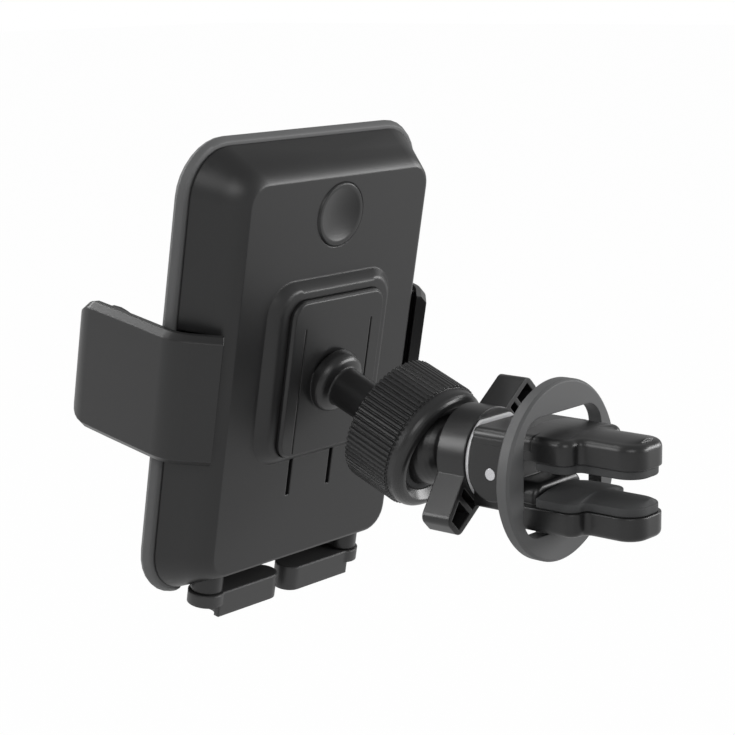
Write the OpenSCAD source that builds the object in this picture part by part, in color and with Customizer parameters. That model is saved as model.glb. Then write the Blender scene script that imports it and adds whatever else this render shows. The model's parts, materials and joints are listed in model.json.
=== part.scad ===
// Phone holder for a car's air vent. The row frame is the vent clip's: +Z up, +Y from the vent
// towards the phone, origin at the centre of the stabilising ring's face that bears on the vent.
// Cradle pieces are drawn in the cradle's own frame (origin in the middle of its back face,
// +Y towards the phone) and set on the ball by on_cradle().

/* [Cradle] */
// Width of the grey front frame
cradle_w = 74; // [70:1:82]
// Height of the grey front frame
cradle_h = 101; // [96:1:112]
// Corner radius of the front frame
frame_corner_r = 12; // [9:1:15]
// Depth of the dark back housing
housing_depth = 10.3; // [10.3:0.1:12]
// Depth of the grey front frame
frame_depth = 3.4; // [3.4:0.1:6]
// How far each long side slopes in from the seam to the flat back
side_slope = 7.4; // [6.4:0.1:9]
// How far the top and bottom slope in from the seam to the flat back
end_slope = 6.1; // [5:0.1:6.1]
// Wall thickness of both covers
wall = 2; // [1.6:0.1:2.2]
// Width of the groove between housing and frame
seam_gap = 0.3; // [0.2:0.05:0.5]
// Width of the soft rest pad
rest_pad_w = 54; // [44:1:58]
// Height of the soft rest pad
rest_pad_h = 84; // [70:1:86]
// Thickness of the soft rest pad
rest_pad_t = 1.4; // [1.1:0.1:2]

/* [Release button] */
// Radius of the round button
button_r = 7; // [5.5:0.1:7]
// Distance of the button's centre below the frame's top edge
button_drop = 16; // [16:0.5:18]
// How deep its dish is
dish_depth = 1.1; // [0.5:0.1:1.4]
// How far it presses in
button_travel = 1.2; // [0.8:0.1:1.3]

/* [Side arms] */
// Height of each arm
arm_h = 28.1; // [24:0.1:29]
// Height of the arms' middle above the middle of the cradle
arm_z = -2.05; // [-3:0.05:1]
// How far each arm stands out from the frame's side, closed
arm_out = 3.2; // [3.2:0.1:6]
// How far the arms reach forward of the back face
arm_reach = 37.4; // [32:0.1:42]
// Thickness of the arm wall
arm_t = 2.4; // [1.8:0.1:2.4]
// Radius of the front corners seen from the side
arm_corner_r = 7.5; // [3:0.5:8]
// Bevel along the outer edges
arm_bevel = 1.3; // [0.5:0.1:1.6]
// How far each arm slides out
arm_travel = 12; // [8:0.5:12]

/* [Rack and pinion] */
// Tooth size, as pitch diameter over tooth count
tooth_module = 1; // [0.9:0.05:1.1]
// Number of teeth on the pinion
pinion_teeth = 12; // [12:1:12]
// Thickness of the pinion and racks
rack_t = 2; // [1.6:0.1:2]
// Play between tooth flanks
backlash = 0.3; // [0.2:0.05:0.4]

/* [Support feet] */
// Radius of the two round posts
post_r = 3.5; // [3.3:0.1:3.6]
// Distance of each post inwards from the frame's side
post_inset = 15; // [14.5:0.1:17]
// How far the posts stand in front of the back face
post_y = 6.4; // [6.3:0.1:6.5]
// Height of a foot
foot_h = 5.6; // [5.2:0.1:7]
// Width of a foot
foot_w = 6.6; // [6:0.1:7]
// Gap between the two folded feet
feet_gap = 2.4; // [1.6:0.1:4]
// How far the feet pull down
foot_travel = 8; // [5:0.5:8]

/* [Ball joint] */
// Radius of the ball
ball_r = 8.5; // [8.3:0.1:8.6]
// Distance of the ball's centre behind the cradle's back face
ball_back = 31.4; // [31:0.2:36]
// Height of the ball's centre relative to the middle of the cradle
ball_z = -6.8; // [-9:0.2:-5]
// Downward lean of the socket from the cradle's back
socket_lean = 11.2; // [6:0.2:14]
// Backward lean of the cradle on the clip
cradle_lean = 10.5; // [0:0.5:16]
// Outside radius of the knurled nut
nut_r = 14; // [13.6:0.1:16]
// Number of ribs round the nut
rib_count = 72; // [48:4:84]
// Depth of the ribs
rib_depth = 0.45; // [0.3:0.05:0.6]
// Radius of the arm's neck beside the ball
neck_r = 5.2; // [4.4:0.1:5.4]

/* [Vent clip] */
// Distance from the ring's vent face to the ball's centre
ball_y = 34; // [34:0.2:38]
// Outside radius of the stabilising ring
ring_r = 18.3; // [17.6:0.1:20]
// Thickness of the stabilising ring
ring_t = 3.1; // [2.4:0.1:3.1]
// Width of the ring's opening
ring_open_w = 26.4; // [25.6:0.1:27]
// Height of the ring's opening
ring_open_h = 24; // [23.6:0.1:24.6]
// How far the jaws reach past the ring
jaw_reach = 21.2; // [20:0.1:30]
// Width of the jaws' broad lobe
jaw_w = 22; // [20:0.5:23]
// Width of the jaws' narrow lobe
jaw_tip_w = 12; // [9:0.5:13]
// Thickness of each jaw's shell at its side
jaw_t = 5; // [4:0.1:5.2]
// Gap between the two pads
jaw_gap = 5.6; // [5:0.1:6]
// Thickness of each jaw pad
jaw_pad_t = 1.8; // [1.4:0.1:2]
// Radius of the hinge pin
pin_r = 1.2; // [1:0.1:1.4]
// Outside radius of the wing nut's collar
collar_r = 10; // [9:0.1:10.5]
// Length of the wing nut's collar
collar_l = 6.8; // [6:0.1:6.8]
// Reach of each wing from the clip's axis
wing_reach = 18.6; // [16:0.1:19.5]

/* [Clearances] */
// Play round parts that turn or slide in a hole
running_gap = 0.06; // [0.03:0.01:0.08]
// Play beside guided and stacked parts
side_gap = 0.1; // [0.08:0.01:0.15]

/* [Hidden] */
$fn = 48;

black_plastic = "#2b2b2c";
grey_plastic = "#5b5c5e";
rubber = "#3a3a3c";
bright_metal = "#c9cbce";
e = 0.01;

// Seam outline, where housing and frame meet
seam_w = cradle_w - 4;
seam_h = cradle_h - 3.2;
seam_r = frame_corner_r - 2;
frame_y0 = housing_depth + seam_gap;
frame_y1 = frame_y0 + frame_depth;
front_in_y = frame_y1 - wall;
rest_recess = 0.9;
rest_y = frame_y1 - rest_recess;
arm_x = cradle_w / 2 + arm_out;
post_x = cradle_w / 2 - post_inset;
button_z = cradle_h / 2 - button_drop;

// Raised shoulder and socket plate on the back, as half width, lowest and highest edge
shoulder_hw = 19.6;
shoulder_lo = -19.8;
shoulder_hi = 21.4;
shoulder_h = 2.2;
plate_hw = 14.5;
plate_lo = -17.6;
plate_hi = 17.6;
plate_pocket = 1.6;
plate_proud = 1.2;
plate_y0 = -shoulder_h - plate_proud;
plate_y1 = -shoulder_h + plate_pocket;

// Layers inside the cradle, from the back wall forwards
lever_y = 3.9;
lever_t = 1.2;
rack_y = 6.2;
rack_y1 = rack_y + rack_t;
pitch_r = tooth_module * pinion_teeth / 2;
pressure_angle = 20;
rack_add = 0.65 * tooth_module;
rack_ded = 1.1 * tooth_module;
gear_add = 0.9 * tooth_module;
gear_ded = 0.9 * tooth_module;
gear_post_r = 1.5;
gear_boss_r = 2.8;
gear_head_t = 0.7;
gear_shank_r = 0.75;
tongue_hw = arm_h / 2 - 1.3;
tongue_in = 16;
rack_end = 14.5;
window_hw = arm_h / 2 - 0.85;
window_y0 = 4.8;
cup_x = tongue_in + 0.3;
cup_w = 2;
spring_y = rack_y1 + gear_head_t + 1.5;
arm_spring_r = 1;
arm_wire_r = 0.3;
curl_r = 8;
curl_y = 9.35;
curl_a = 49;
arm_back = -1;

// Latch lever
lever_pivot_z = button_z - 14.5;
lever_pivot_y = lever_y + lever_t / 2;
lever_hw = 3;
barrel_r = 1.6;
latch_pin_r = 0.8;
lever_foot_z = arm_z + pitch_r + 2.6;
nose_r = 1.8;
button_flange_r = button_r + 0.4;
button_flange_t = 0.55;
lever_spring_r = 2;
lever_wire_r = 0.3;
spring_seat_y = lever_y + lever_t + 5.4;

// Cover screws
screw_x = cradle_w / 2 - 15;
screw_z = cradle_h / 2 - 12.5;
screw_low_x = cradle_w / 2 - 23;
screw_low_z = 10.5 - cradle_h / 2;
screw_at = [[screw_x, screw_z], [-screw_x, screw_z], [screw_low_x, screw_low_z], [-screw_low_x, screw_low_z]];
screw_r = 1;
screw_head_r = 2.1;
screw_boss_r = 3;
screw_head_t = 1.5;
screw_tip_y = 4.5;

// Feet
rim_bottom = -cradle_h / 2;
foot_top = -seam_h / 2 - 0.15;
post_end = foot_top + 0.3;
hub_r = post_r + 0.5;
hub_lo = foot_top - foot_h / 2;
foot_back = 3.4;
foot_outer = 1;
foot_pin_r = 1.5;
foot_screw_r = 0.8;
foot_head_r = 2.2;
foot_head_t = 0.9;
notch_hw = post_x + foot_w - foot_back + 0.3;
bar_lo = -25;
bar_hi = -18;
key_x = 6.5;
key_w = 1;
slot_w = key_w + 2 * side_gap;
key_hi = -19.1;
key_lo = key_hi - 0.8;
slot_hi = key_hi + side_gap;
slot_lo = key_lo - foot_travel - side_gap;
foot_corner = foot_w / 2 - 0.1;

// Ball joint, measured along the socket's axis from the ball's centre, + towards the mouth
seat_t = 1;
seat_in = ball_r + running_gap;
seat_out = seat_in + seat_t;
cup_in = seat_out + running_gap;
cup_r = 11.2;
cup_rear = -11;
cup_mouth = 0.1;
cup_slots = 4;
nut_rear = -11.5;
rib_end = 0.5;
mouth = 2.5;
lip = 4;
lip_round = 2.2;
mouth_r = seat_out + running_gap;
nut_bore_r = cup_r + side_gap;
stem_r = 4.4;
stem_collar_r = 7;
plate_along = (ball_back + plate_y0) / cos(socket_lean);

// Clip, along Y in the row frame
washer_r = 9.5;
washer_t = 0.7;
block_y1 = 16.3;
washer_y0 = block_y1 + 0.1;
collar_y0 = washer_y0 + washer_t + side_gap;
collar_y1 = collar_y0 + collar_l;
stud_r = 3.9;
stud_end = 12;
pin_y = 10.5;
pin_z = -1;
ear_r = 5.6;
ear_x0 = 8;
ear_x1 = 10;
block_hw = ear_x0 - side_gap;
block_lo = -8.8;
block_hi = 3.8;
block_step_y = 6.5;
gap_mid = -1.6;
upper_pad_z = gap_mid + jaw_gap / 2;
upper_z0 = upper_pad_z + jaw_pad_t;
upper_z1 = upper_z0 + jaw_t + 0.7;
lower_pad_z = gap_mid - jaw_gap / 2;
lower_z1 = lower_pad_z - jaw_pad_t;
lower_z0 = lower_z1 - jaw_t + 0.2;
ear_top = 7.2;
ear_plate = 5;
jaw_root_y = 5.8;
lobe_y = -9.3;
jaw_edge = 1;
tab_hw = 5;
tab_t = 1.4;
torsion_x = 6.1;
torsion_r = 2.3;
torsion_wire = 0.35;
torsion_pitch = 0.8;
torsion_turns = 3;
ring_mid = -0.6;
ring_open_mid = -0.5;

// Places the cradle's frame on the ball
module on_cradle() {
    translate([0, ball_y, 0]) rotate([cradle_lean, 0, 0]) translate([0, ball_back, -ball_z]) children();
}

// Places the socket's frame, +Z along its axis out of the mouth, on the ball in the cradle's frame
module on_socket() {
    translate([0, -ball_back, ball_z]) rotate([90 + socket_lean, 0, 0]) children();
}

// Rectangle with round corners, centred
module rounded(w, h, r) {
    union() {
        square([w - 2 * r, h], center = true);
        square([w, h - 2 * r], center = true);
        for (x = [-1, 1], y = [-1, 1]) translate([x * (w / 2 - r), y * (h / 2 - r)]) circle(r);
    }
}

// Flat outline in the X-Z plane, made thick from y0 to y1
module along_y(y0, y1) {
    translate([0, y1, 0]) rotate([90, 0, 0]) linear_extrude(y1 - y0) children();
}

// Round bar along Y
module bar_y(r, y0, y1, x = 0, z = 0) {
    translate([x, y1, z]) rotate([90, 0, 0]) cylinder(r = r, h = y1 - y0);
}

// Round bar along X
module bar_x(r, x0, x1, y = 0, z = 0) {
    translate([x0, y, z]) rotate([0, 90, 0]) cylinder(r = r, h = x1 - x0);
}

// Smooth shell through rounded outlines, each [y, width, height, corner, z shift]
module lofted(levels) {
    hull() for (v = levels) translate([0, 0, v[4]])
        along_y(v[0], v[0] + e) rounded(v[1], v[2], v[3], $fn = 32);
}

// Surface through rings of points, closed at both ends
module skin(rings) {
    n = len(rings[0]);
    m = len(rings);
    polyhedron(
        points = [for (r = rings) each r],
        faces = concat(
            [[for (i = [n - 1:-1:0]) i]],
            [for (k = [0:m - 2], i = [0:n - 1])
                each [[k * n + i, (k + 1) * n + (i + 1) % n, (k + 1) * n + i],
                      [k * n + i, k * n + (i + 1) % n, (k + 1) * n + (i + 1) % n]]],
            [[for (i = [0:n - 1]) (m - 1) * n + i]]
        ),
        convexity = 6
    );
}

// Coil along +Z: mean radius r, wire radius w, with a ring of 6 points at each step
function coil_ring(r, w, a, z) = [for (i = [0:5])
    let (b = 60 * i, q = r + w * cos(b)) [q * cos(a), q * sin(a), z + w * sin(b)]];
module coil(r, w, turns, length) {
    steps = 12;
    rise = length - 2 * w;
    skin([for (k = [0:turns * steps]) coil_ring(r, w, k * 360 / steps, w + rise * k / (turns * steps))]);
}

// Back housing
module housing_outer() {
    flat_w = seam_w - 2 * side_slope;
    flat_h = seam_h - 2 * end_slope;
    lofted([
        [housing_depth - e, seam_w, seam_h, seam_r, 0],
        [0.95, flat_w + 0.324 * side_slope, flat_h + 0.324 * end_slope, 5.9, 0],
        [0.45, flat_w + 0.23 * side_slope, flat_h + 0.23 * end_slope, 5.5, 0],
        [0.15, flat_w + 0.122 * side_slope, flat_h + 0.122 * end_slope, 5.1, 0],
        [0, flat_w, flat_h, 4.7, 0]
    ]);
    along_y(housing_depth - e, frame_y0) rounded(seam_w - 2.4, seam_h - 2.4, seam_r - 1.2);
}
module housing_inner() {
    flat_w = seam_w - 2 * side_slope;
    flat_h = seam_h - 2 * end_slope;
    lofted([
        [frame_y0 + e, seam_w - 2.4 * wall, seam_h - 2.4 * wall, seam_r - wall, 0],
        [wall + 1.2, flat_w - 0.6 * wall + 0.3 * side_slope, flat_h - 0.6 * wall + 0.3 * end_slope, 5, 0],
        [wall, flat_w - 0.8 * wall, flat_h - 0.4 * wall, 4, 0]
    ]);
}
module back_shoulder() {
    mid = (shoulder_hi + shoulder_lo) / 2;
    full = shoulder_hi - shoulder_lo;
    lofted([
        [0.2, 2 * shoulder_hw, full, 7, mid],
        [-0.3 * shoulder_h, 2 * shoulder_hw - 1.7, full - 1.2, 6.6, mid],
        [-0.75 * shoulder_h, 2 * shoulder_hw - 4.2, full - 2.9, 5.8, mid],
        [-shoulder_h, 2 * shoulder_hw - 6.6, full - 4.8, 5, mid + 0.2]
    ]);
}
module rear_housing() {
    color(black_plastic) difference() {
        union() {
            difference() {
                union() {
                    housing_outer();
                    back_shoulder();
                }
                housing_inner();
            }
            for (p = screw_at) bar_y(screw_boss_r, wall - e, frame_y0, p[0], p[1]);
            bar_y(gear_boss_r, wall - e, rack_y - side_gap, 0, arm_z);
            bar_y(gear_post_r, wall - e, rack_y1 + side_gap, 0, arm_z);
            arm_rails();
            latch_ears();
        }
        bar_y(button_r + running_gap, -1, wall + 1, 0, button_z);
        bar_y(gear_shank_r + 0.02, screw_tip_y, rack_y1 + 1, 0, arm_z);
        for (p = screw_at) bar_y(screw_r + 0.02, screw_tip_y - 0.3, frame_y0 + 1, p[0], p[1]);
        for (s = [-1, 1]) {
            translate([s * key_x - slot_w / 2, -0.5, slot_lo]) cube([slot_w, wall + 1, slot_hi - slot_lo]);
            translate([s * post_x, post_y, rim_bottom]) cylinder(r = post_r + running_gap, h = 22);
            translate([s > 0 ? 24 : -44, window_y0, arm_z - window_hw])
                cube([20, housing_depth - 0.1 - window_y0, 2 * window_hw]);
        }
        bar_x(latch_pin_r + running_gap, -8, 8, lever_pivot_y, lever_pivot_z);
        along_y(-shoulder_h - 1, plate_y1) translate([0, (plate_hi + plate_lo) / 2])
            rounded(2 * plate_hw + 2 * side_gap, plate_hi - plate_lo + 2 * side_gap, 4 + side_gap);
    }
}
module arm_rails() {
    rail_t = 1.5;
    ledge = 1.3;
    for (s = [-1, 1], u = [-1, 1]) {
        lo = u > 0 ? arm_z + tongue_hw + 0.15 : arm_z - tongue_hw - 0.15 - rail_t;
        translate([s > 0 ? 11 : -22, wall - e, lo]) cube([11, rack_y1 - wall, rail_t]);
        translate([s > 0 ? 11 : -22, wall - e, u > 0 ? lo - ledge : lo])
            cube([11, rack_y - side_gap - wall, rail_t + ledge]);
    }
}
module latch_ears() {
    for (s = [-1, 1]) translate([s > 0 ? lever_hw + 0.3 : -lever_hw - 2.3, wall - e, lever_pivot_z - 2])
        cube([2, lever_pivot_y + 1.9 - wall, 4]);
}

// Grey front cover
module front_frame() {
    color(grey_plastic) difference() {
        union() {
            difference() {
                lofted([
                    [frame_y0, cradle_w - 2.4, cradle_h - 2, frame_corner_r - 1.2, 0],
                    [frame_y0 + 0.12 * frame_depth, cradle_w - 1, cradle_h - 0.9, frame_corner_r - 0.5, 0],
                    [frame_y0 + 0.38 * frame_depth, cradle_w, cradle_h, frame_corner_r, 0],
                    [frame_y0 + 0.6 * frame_depth, cradle_w - 0.4, cradle_h - 0.4, frame_corner_r - 0.2, 0],
                    [frame_y1 - 0.22 * frame_depth, cradle_w - 1.6, cradle_h - 1.6, frame_corner_r - 0.8, 0],
                    [frame_y1 - 0.07 * frame_depth, cradle_w - 3, cradle_h - 3, frame_corner_r - 1.5, 0],
                    [frame_y1 - e, cradle_w - 4.6, cradle_h - 4.6, frame_corner_r - 2.3, 0]
                ]);
                along_y(frame_y0 - 1, front_in_y) rounded(seam_w - 2.4 * wall, seam_h - 2.4 * wall, seam_r - wall);
            }
            for (p = screw_at) bar_y(screw_boss_r, frame_y0 + side_gap, front_in_y + e, p[0], p[1]);
            bar_y(lever_spring_r + 0.9, spring_seat_y, front_in_y + e, 0, button_z);
            bar_y(lever_spring_r - 0.8, spring_seat_y - 1.2, spring_seat_y + e, 0, button_z);
        }
        along_y(rest_y, frame_y1 + 1) rounded(rest_pad_w + 2 * side_gap, rest_pad_h + 2 * side_gap, 8 + side_gap);
        for (p = screw_at) {
            bar_y(screw_r + side_gap, frame_y0 - 1, frame_y1, p[0], p[1]);
            bar_y(screw_head_r + side_gap, rest_y - screw_head_t - 0.2, frame_y1, p[0], p[1]);
        }
        along_y(frame_y0 - 1, frame_y1 + 1) polygon([
            [-notch_hw, -seam_h / 2], [notch_hw, -seam_h / 2],
            [notch_hw + 3, -seam_h / 2 - 3], [-notch_hw - 3, -seam_h / 2 - 3]
        ]);
    }
}

// Soft pad that the phone rests on, with shallow cross grooves
module front_pad() {
    groove_step = 12;
    color(rubber) difference() {
        along_y(rest_y, rest_y + rest_pad_t) rounded(rest_pad_w, rest_pad_h, 8);
        for (k = [-3:3]) translate([-rest_pad_w / 2 + 5, rest_y + rest_pad_t - 0.4, k * groove_step - 0.6])
            cube([rest_pad_w - 10, 1, 1.2]);
    }
}

module housing_screws() {
    color(bright_metal) for (p = screw_at) {
        bar_y(screw_r, screw_tip_y, rest_y - screw_head_t, p[0], p[1]);
        difference() {
            bar_y(screw_head_r, rest_y - screw_head_t - 0.1, rest_y - 0.1, p[0], p[1]);
            translate([p[0] - 1.4, rest_y - 0.8, p[1] - 0.25]) cube([2.8, 1, 0.5]);
        }
    }
}

// Round button with a dished face, held by a flange behind the wall
module release_button() {
    rim = 0.35;
    stand = 0.3;
    flange_y = wall + 0.05;
    steps = 8;
    dish_r = button_r - 0.9;
    color(black_plastic) translate([0, 0, button_z]) rotate([-90, 0, 0]) rotate_extrude($fn = 64)
        polygon(concat(
            [for (k = [0:steps]) let (q = k / steps) [dish_r * q, -stand + dish_depth * (1 - q * q)]],
            [[button_r - rim, -stand], [button_r, -stand + rim], [button_r, flange_y],
             [button_flange_r, flange_y], [button_flange_r, flange_y + button_flange_t],
             [nose_r, flange_y + button_flange_t], [nose_r, lever_y - side_gap], [0, lever_y - side_gap]]
        ));
}

// Coil between the lever's top end and the front cover
module button_spring() {
    y0 = lever_y + lever_t + 0.05;
    color(bright_metal) translate([0, y0, button_z]) rotate([-90, 0, 0])
        coil(lever_spring_r - lever_wire_r, lever_wire_r, 5, spring_seat_y - y0 - 0.05);
}

// Lever from the button to the rack, turning on latch_pin
module latch_lever() {
    tooth = rack_y - 0.2;
    color(grey_plastic) difference() {
        union() {
            translate([-lever_hw, lever_y, lever_foot_z])
                cube([2 * lever_hw, lever_t, button_z + 3 - lever_foot_z]);
            bar_x(barrel_r, -lever_hw, lever_hw, lever_pivot_y, lever_pivot_z);
            along_x(-1.6, 1.6) polygon([
                [lever_y + lever_t - e, lever_foot_z], [tooth, lever_foot_z],
                [lever_y + lever_t - e, lever_foot_z + 2.4]
            ]);
        }
        bar_x(latch_pin_r + running_gap, -lever_hw - 1, lever_hw + 1, lever_pivot_y, lever_pivot_z);
    }
}

// Flat outline in the Y-Z plane, made thick from x0 to x1
module along_x(x0, x1) {
    translate([x0, 0, 0]) rotate([90, 0, 90]) linear_extrude(x1 - x0) children();
}

module latch_pin() {
    color(bright_metal) bar_x(latch_pin_r, -lever_hw - 2.2, lever_hw + 2.2, lever_pivot_y, lever_pivot_z);
}

// Plan path of the arm's outer face, from its curled rear end to the tip of its front hook
function arm_path() = concat(
    [[arm_x - curl_r * (1 - cos(curl_a)) - (curl_y - curl_r * sin(curl_a) - arm_back) * tan(curl_a), arm_back]],
    [for (a = [-curl_a:curl_a / 5:0]) [arm_x - curl_r + curl_r * cos(a), curl_y + curl_r * sin(a)]],
    [for (k = [1:3]) [arm_x, curl_y + (arm_reach - 6.5 - curl_y) * k / 3]],
    [for (a = [11.25:11.25:90]) [arm_x - 6.5 + 6.5 * cos(a), arm_reach - 6.5 + 6.5 * sin(a)]],
    [[arm_x - 8.2, arm_reach + 0.2]]
);
// Half height of the arm at a distance forward
function arm_half(y) = let (over = max(0, y - (arm_reach - arm_corner_r)))
    arm_h / 2 - arm_corner_r + sqrt(max(0, pow(arm_corner_r, 2) - pow(min(over, arm_corner_r * 0.99), 2)));
function unit(v) = v / norm(v);
function arm_ring(p, i) = let (
        n = len(p),
        d = unit(p[min(i + 1, n - 1)] - p[max(i - 1, 0)]),
        inward = [-d[1], d[0]],
        h = arm_half(p[i][1]),
        a = p[i],
        b = p[i] + inward * arm_bevel,
        c = p[i] + inward * arm_t
    ) [[a[0], a[1], arm_bevel - h], [a[0], a[1], h - arm_bevel], [b[0], b[1], h],
       [c[0], c[1], h], [c[0], c[1], -h], [b[0], b[1], -h]];

// Rack tooth gap centred on 0, repeated over the stretch
module rack_teeth(x0, x1) {
    pitch = PI * tooth_module;
    slant = tan(pressure_angle);
    half = pitch / 4 - backlash / 2;
    for (k = [ceil(x0 / pitch):floor(x1 / pitch) - 1]) translate([(k + 0.5) * pitch, 0])
        polygon([[-half - rack_ded * slant, -rack_ded - 0.1], [half + rack_ded * slant, -rack_ded - 0.1],
                 [half - rack_add * slant, rack_add], [-half + rack_add * slant, rack_add]]);
}

// Right arm about the pinion's axis; the left one is the same piece turned half round
module arm() {
    p = arm_path();
    color(black_plastic) union() {
        skin([for (i = [0:len(p) - 1]) arm_ring(p, i)]);
        translate([tongue_in, rack_y, -tongue_hw]) cube([arm_x - arm_t / 2 - tongue_in, rack_t, 2 * tongue_hw]);
        translate([-rack_end, rack_y, -tongue_hw])
            cube([rack_end + tongue_in + e, rack_t, tongue_hw - pitch_r - rack_ded]);
        along_y(rack_y, rack_y1) translate([0, -pitch_r]) rack_teeth(-rack_end, rack_end);
        translate([cup_x, rack_y1 - e, -2.6]) cube([cup_w, spring_y + 1.4 - rack_y1, 5.2]);
        bar_x(arm_spring_r - arm_wire_r - 0.1, cup_x - 1.6, cup_x + e, spring_y, 0);
    }
}
// Soft wedge in the arm: thin at the back, thick towards the hook
module arm_pad() {
    x0 = arm_x - arm_t;
    h = arm_h / 2 - 1.4;
    color(rubber) difference() {
        translate([0, 0, -h]) linear_extrude(2 * h) polygon([
            [x0, frame_y1 + 0.4], [x0, arm_reach - 6.7], [x0 - 3.2, arm_reach - 4.4],
            [x0 - 4.2, arm_reach - 9], [x0 - 3.6, arm_reach - 11.6], [x0 - 0.75, frame_y1 + 3]
        ]);
        for (k = [-4:4]) translate([x0 - 5, arm_reach - 22, k * 2.6 - 0.4]) cube([4, 22, 0.8]);
        for (u = [-1, 1]) translate([x0 - 6, arm_reach - 4, u * h]) rotate([0, 90, 0])
            cylinder(r = 3.2, h = 7);
    }
}
module on_right() {
    translate([0, 0, arm_z]) children();
}
module on_left() {
    translate([0, 0, arm_z]) rotate([0, 180, 0]) children();
}

// Pinion with involute flanks between the two racks
function involute(rb, a) = [rb * (cos(a) + a * PI / 180 * sin(a)), rb * (sin(a) - a * PI / 180 * cos(a))];
function turned(p, a) = [p[0] * cos(a) - p[1] * sin(a), p[0] * sin(a) + p[1] * cos(a)];
module pinion_gear() {
    rb = pitch_r * cos(pressure_angle);
    ra = pitch_r + gear_add;
    rf = pitch_r - gear_ded;
    a_tip = sqrt(pow(ra / rb, 2) - 1) * 180 / PI;
    a_pitch = sqrt(pow(pitch_r / rb, 2) - 1) * 180 / PI;
    pitch_at = atan2(involute(rb, a_pitch)[1], involute(rb, a_pitch)[0]);
    half = 90 / pinion_teeth - backlash / 2 / pitch_r * 180 / PI;
    shift = -half - pitch_at;
    flank = concat([[rf, 0]], [for (k = [0:4]) involute(rb, a_tip * k / 4)]);
    up = [for (p = flank) turned(p, shift)];
    down = [for (k = [len(up) - 1:-1:0]) [up[k][0], -up[k][1]]];
    color(grey_plastic) translate([0, 0, arm_z]) difference() {
        along_y(rack_y, rack_y1) rotate(90) polygon([for (t = [0:pinion_teeth - 1])
            each [for (p = concat(up, down)) turned(p, t * 360 / pinion_teeth)]]);
        bar_y(gear_post_r + running_gap, rack_y - 1, rack_y1 + 1);
    }
}
module gear_screw() {
    color(bright_metal) translate([0, 0, arm_z]) {
        bar_y(gear_shank_r, screw_tip_y + 0.3, rack_y1 + side_gap + 0.1);
        difference() {
            bar_y(gear_boss_r, rack_y1 + side_gap + 0.02, rack_y1 + gear_head_t);
            translate([-1.6, rack_y1 + gear_head_t - 0.5, -0.3]) cube([3.2, 1, 0.6]);
        }
    }
}
module arm_spring() {
    color(bright_metal) translate([-cup_x + 0.05, spring_y, arm_z]) rotate([0, 90, 0])
        coil(arm_spring_r, arm_wire_r, 12, 2 * cup_x - 0.1);
}

// Carriage of the support feet: cross bar, two posts and two keys in the back's slots
module foot_slider() {
    color(black_plastic) difference() {
        union() {
            for (s = [-1, 1]) {
                translate([s * post_x, post_y, post_end]) cylinder(r = post_r, h = bar_hi - post_end);
                translate([s * post_x, post_y, hub_lo + foot_head_t + 0.1])
                    cylinder(r = foot_pin_r, h = post_end - hub_lo - foot_head_t);
                translate([s * key_x - key_w / 2, 0.5, key_lo]) cube([key_w, post_y - 2, key_hi - key_lo]);
            }
            translate([-post_x, post_y - 2.4, bar_lo]) cube([2 * post_x, 4.8, bar_hi - bar_lo]);
        }
        for (s = [-1, 1]) translate([s * post_x, post_y, foot_top - foot_h])
            cylinder(r = foot_screw_r + 0.02, h = foot_h + 3);
    }
}

// Folded support foot, drawn for the left post
module foot() {
    inner = post_x - feet_gap / 2;
    color(black_plastic) difference() {
        union() {
            translate([0, 0, hub_lo]) cylinder(r = hub_r, h = foot_top - hub_lo);
            translate([foot_outer, -foot_back, foot_top - foot_h]) linear_extrude(foot_h) polygon(concat(
                [[0, foot_w], [0, 0]],
                [for (a = [-90:15:0]) [inner - foot_outer - foot_corner + foot_corner * cos(a), foot_corner + foot_corner * sin(a)]],
                [for (a = [0:15:90]) [inner - foot_outer - foot_corner + foot_corner * cos(a),
                                      foot_w - foot_corner + foot_corner * sin(a)]]
            ));
        }
        translate([0, 0, foot_top - foot_h - 1]) cylinder(r = foot_pin_r + running_gap, h = foot_h + 2);
        translate([0, 0, foot_top - foot_h - 1])
            cylinder(r = foot_head_r + side_gap, h = foot_h + 1.2 + hub_lo - foot_top + foot_head_t);
    }
}
module foot_screws() {
    color(bright_metal) for (s = [-1, 1]) translate([s * post_x, post_y, hub_lo + 0.1]) {
        difference() {
            cylinder(r = foot_head_r, h = foot_head_t);
            translate([-1.6, -0.25, -1]) cube([3.2, 0.5, 1.4]);
        }
        cylinder(r = foot_screw_r, h = foot_h);
    }
}

// Socket plate: plate let into the shoulder, leaning stem and slotted cup
module socket_plate() {
    mid = (plate_hi + plate_lo) / 2;
    groove_x = 10.4;
    color(black_plastic) difference() {
        union() {
            lofted([
                [plate_y1 - e, 2 * plate_hw, plate_hi - plate_lo, 4, mid],
                [plate_y0 + 0.5, 2 * plate_hw, plate_hi - plate_lo, 4, mid],
                [plate_y0, 2 * plate_hw - 1.2, plate_hi - plate_lo - 1.2, 3.4, mid]
            ]);
            on_socket() rotate_extrude($fn = 64) polygon(concat(
                [[0, -plate_along - 0.4], [stem_collar_r, -plate_along - 0.4]],
                [for (a = [0:15:75]) [stem_collar_r - 2.2 + 2.2 * cos(a), -plate_along + 1 + 2.2 * sin(a)]],
                [[stem_r + 0.25, -plate_along + 3.35], [stem_r, -plate_along + 3.8], [stem_r, cup_rear - 1.6], [stem_r + 1.2, cup_rear - 0.4],
                 [cup_r - 0.6, cup_rear - 0.2], [cup_r, cup_rear + 0.4], [cup_r, cup_mouth], [0, cup_mouth]]
            ));
        }
        on_socket() sphere(r = cup_in, $fn = 64);
        on_socket() for (k = [0:cup_slots - 1]) rotate(45 + k * 360 / cup_slots)
            translate([4, -0.6, -5]) cube([9, 1.2, 8]);
        for (s = [-1, 1]) translate([s * groove_x - 0.2, plate_y0 - 1, -16.6]) cube([0.4, 1.35, 28]);
    }
}

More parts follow.
